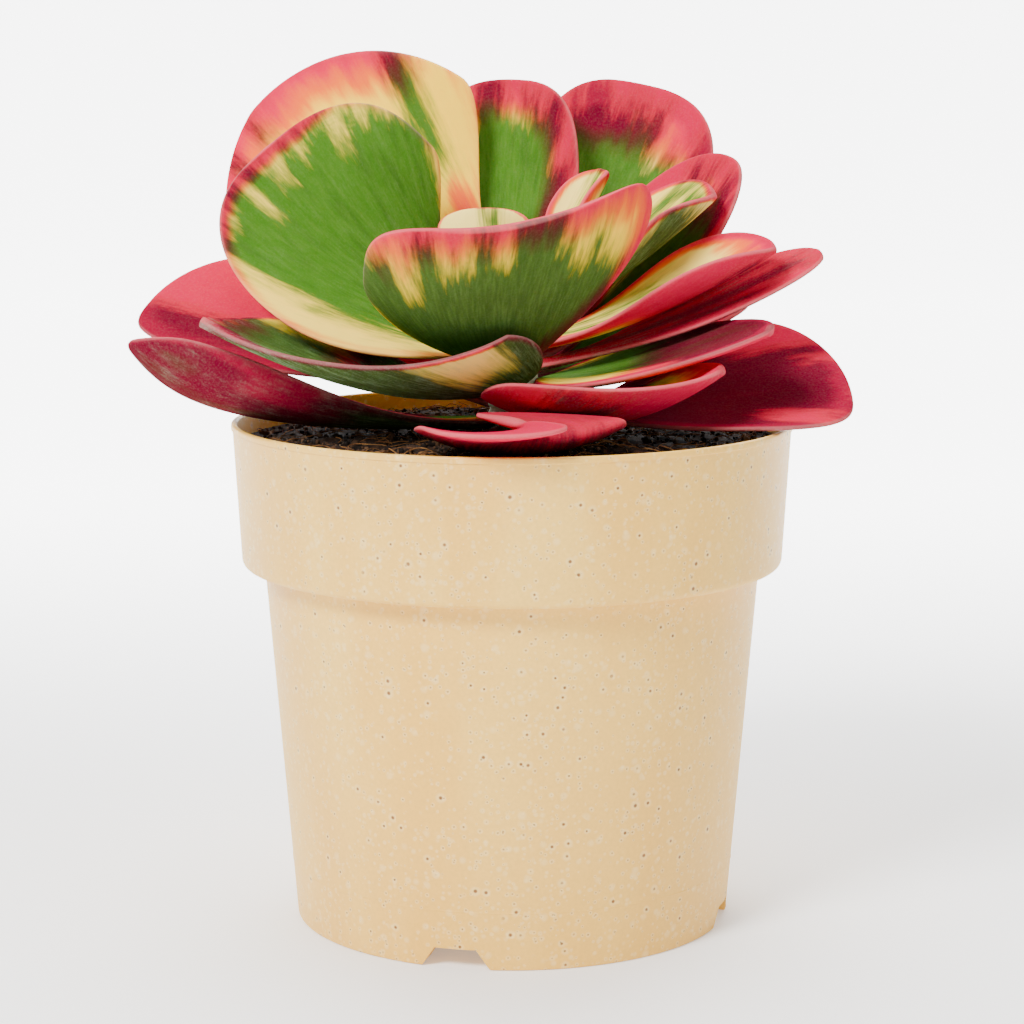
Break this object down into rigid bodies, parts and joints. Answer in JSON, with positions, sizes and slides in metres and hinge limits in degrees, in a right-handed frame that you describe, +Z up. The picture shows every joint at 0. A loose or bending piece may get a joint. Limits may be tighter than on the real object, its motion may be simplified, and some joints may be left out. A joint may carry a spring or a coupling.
{
  "type": "potted paddle plant",
  "caption": "Variegated paddle plant, a rosette of broad succulent leaves on a short stem, in soil in a round plastic nursery pot.",
  "frame": {"origin": "middle of the whole plant's footprint, on the surface that the pot stands on; the pot's axis is 7 mm towards +X of it", "axes": "+Z up along the pot's axis, -Y towards the front of the plant, +X to its right"},
  "size_m": [0.218, 0.1862, 0.2631],
  "materials": {
    "pot": "cream yellow moulded plastic, slightly satin, with fine specks",
    "soil": "dark loose potting soil with coir fibres, matt",
    "stem": "pale green, frosted with wax bloom",
    "leaf_green": "green and cream variegated succulent leaf with a red margin, waxy satin",
    "leaf_red": "maroon and crimson succulent leaf, waxy satin",
    "leaf_cream": "cream and green succulent leaf with a pink margin, waxy satin"
  },
  "bodies": {
    "root": {"pot": "pot", "soil": "soil", "stem": "stem", "leaf_upper_back_left": "leaf_cream", "leaf_upper_left": "leaf_green", "leaf_front": "leaf_green", "leaf_front_left": "leaf_green", "leaf_low_left": "leaf_red", "leaf_low_back_left": "leaf_red", "leaf_upper_back": "leaf_green", "leaf_upper_back_right": "leaf_green", "leaf_right_back": "leaf_green", "leaf_upper_right_folded": "leaf_green", "leaf_young_left": "leaf_cream", "leaf_young_right": "leaf_cream", "leaf_right_folded": "leaf_green", "leaf_right_narrow": "leaf_red", "leaf_right": "leaf_red", "leaf_front_right": "leaf_green", "leaf_low_front": "leaf_red", "leaf_low_right": "leaf_red", "leaf_hidden_back_left": "leaf_green", "leaf_hidden_back_low": "leaf_green", "leaf_hidden_back": "leaf_green", "leaf_hidden_left": "leaf_green", "leaf_hidden_right": "leaf_green"}
  },
  "joints": []
}
